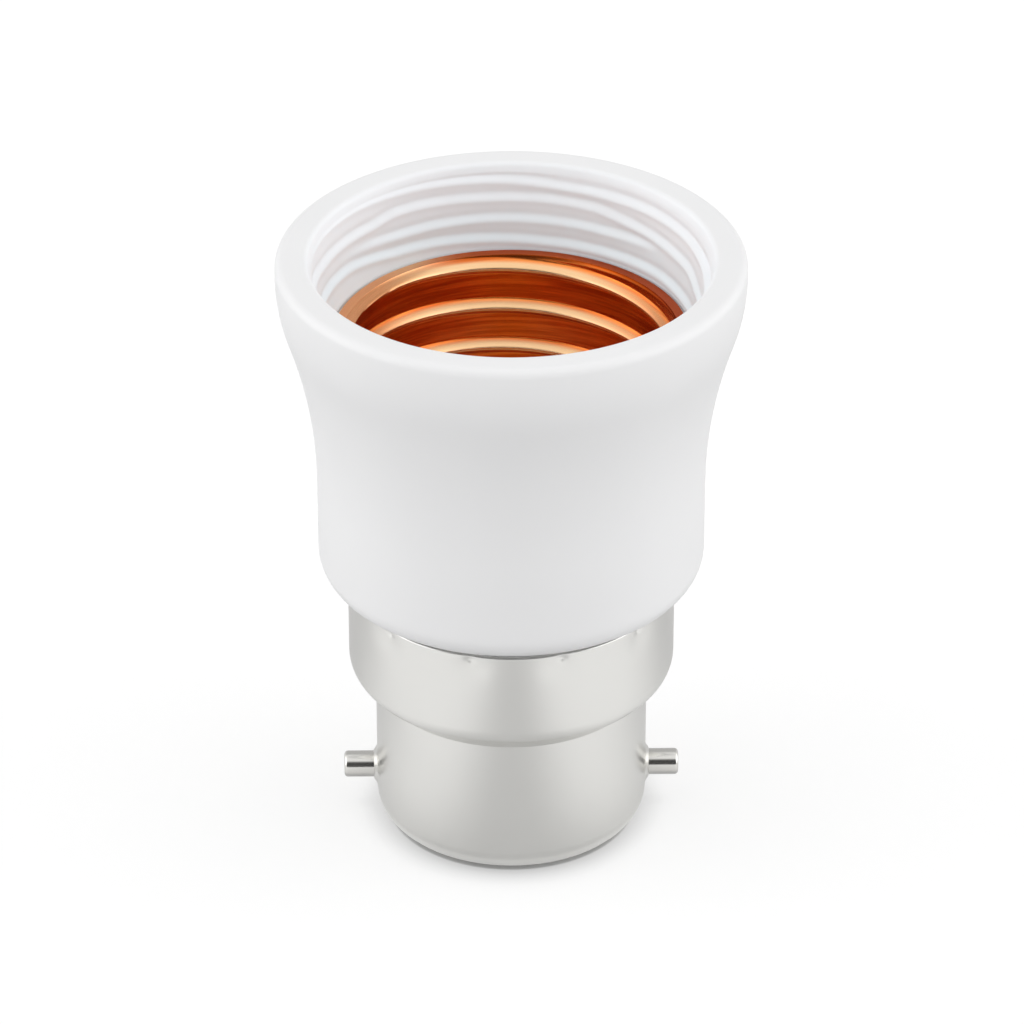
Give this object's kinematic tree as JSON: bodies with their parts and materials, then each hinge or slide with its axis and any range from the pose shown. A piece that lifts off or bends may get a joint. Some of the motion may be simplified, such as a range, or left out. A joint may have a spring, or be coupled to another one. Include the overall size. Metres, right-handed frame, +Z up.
{
  "type": "lamp socket adapter",
  "caption": "White flared lamp socket adapter: a nickel two-pin bayonet cap below and a copper screw socket for a bulb in the open mouth above.",
  "frame": {"origin": "middle of the cap's end, on the plane that the adapter stands on", "axes": "+Z up through the mouth of the screw socket, X along the two bayonet pins, -Y towards the viewer of the picture"},
  "size_m": [0.037, 0.037, 0.0509],
  "materials": {
    "white_plastic": "smooth moulded white plastic",
    "copper": "bright copper-plated sheet",
    "spring_brass": "bright spring brass",
    "nickel_plate": "satin nickel plate on brass sheet",
    "dark_insulator": "dark moulded insulator",
    "solder": "dull solder",
    "lead_sleeve": "pale woven sleeve"
  },
  "bodies": {
    "adapter": {"body": "white_plastic", "screw_shell": "copper", "contact_rivet": "spring_brass", "solder_tag": "spring_brass", "cap_shell": "nickel_plate", "bayonet_pin_left": "nickel_plate", "bayonet_pin_right": "nickel_plate", "cap_insulator": "dark_insulator", "contact_eyelet_front": "spring_brass", "contact_eyelet_rear": "spring_brass", "contact_solder_front": "solder", "contact_solder_rear": "solder", "shell_lead_core": "copper", "shell_lead_sleeve": "lead_sleeve", "centre_lead_core": "copper", "centre_lead_sleeve": "lead_sleeve", "lug_solder": "solder", "tag_solder": "solder"},
    "leaf": {"centre_contact": "spring_brass"}
  },
  "joints": [
    {"name": "contact_press", "type": "hinge", "parent": "adapter", "child": "leaf", "pos_m": [0, -0.00445, 0.0258], "axis": [-1, 0, 0], "range_deg": [0, 10], "stiffness_Nm_per_rad": 0.2, "deforming": ["centre_contact"]}
  ]
}
